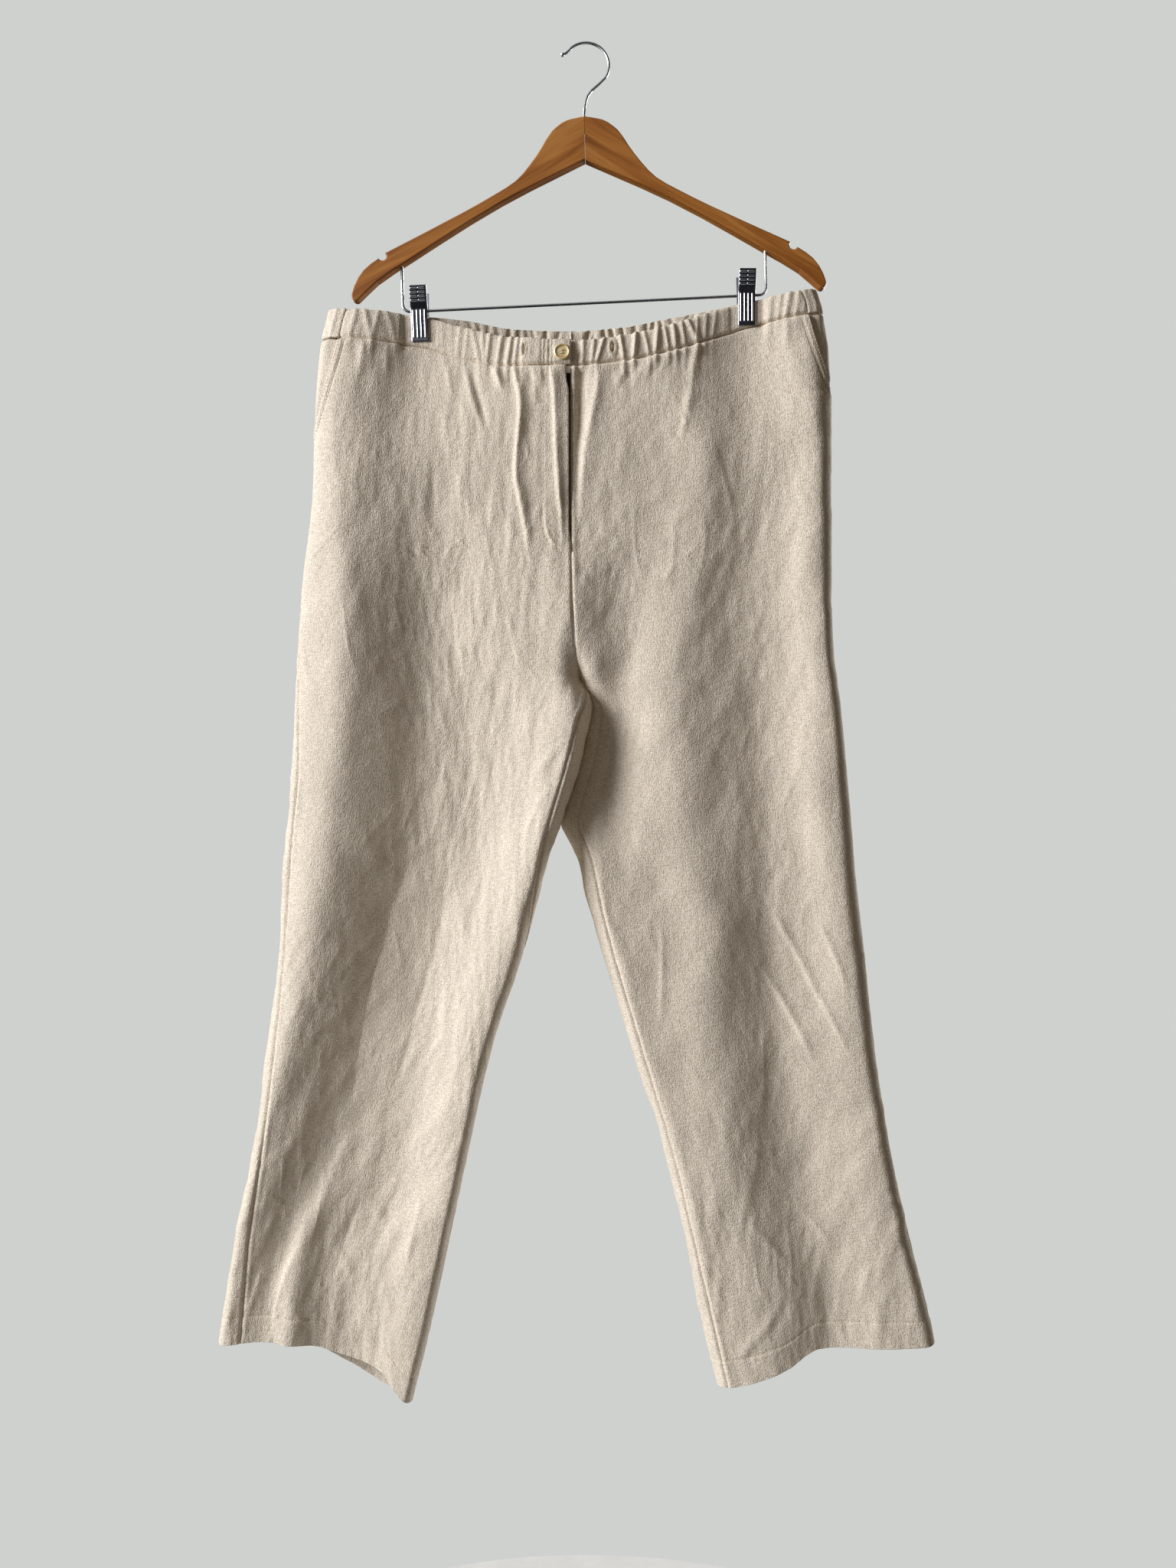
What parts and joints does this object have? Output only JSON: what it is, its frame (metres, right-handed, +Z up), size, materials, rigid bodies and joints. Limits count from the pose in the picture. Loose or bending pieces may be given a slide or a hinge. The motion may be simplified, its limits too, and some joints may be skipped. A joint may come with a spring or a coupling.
{
  "type": "linen trousers on a wooden clip hanger",
  "caption": "Straight-leg trousers with a gathered elasticated waist, slant pockets and a buttoned fly, clipped by the waistband to a wooden hanger.",
  "frame": {"origin": "inside top of the hanger's hook, where a rod or peg carries it", "axes": "+Z up, the trousers' front faces -Y, the wearer's left is +X"},
  "size_m": [0.6681, 0.0634, 1.2721],
  "materials": {
    "linen": "matt plain-weave linen",
    "zip_tape": "matt woven tape",
    "button": "polished horn look",
    "hanger_wood": "varnished",
    "hanger_metal": "bright plated wire",
    "clip_metal": "bright plated steel"
  },
  "bodies": {
    "root": {"front_right": "linen", "front_left": "linen", "back_right": "linen", "back_left": "linen", "hip_piece_right": "linen", "hip_piece_left": "linen", "waistband_front_right": "linen", "waistband_front_left": "linen", "waistband_back_right": "linen", "waistband_back_left": "linen", "fly_zip": "zip_tape", "button": "button", "hanger_wood_right": "hanger_wood", "hanger_wood_left": "hanger_wood", "hook": "hanger_metal", "trouser_bar": "hanger_metal", "clip_right_front": "clip_metal", "clip_right_back": "clip_metal", "clip_right_spring": "clip_metal", "clip_left_front": "clip_metal", "clip_left_back": "clip_metal", "clip_left_spring": "clip_metal"}
  },
  "joints": []
}
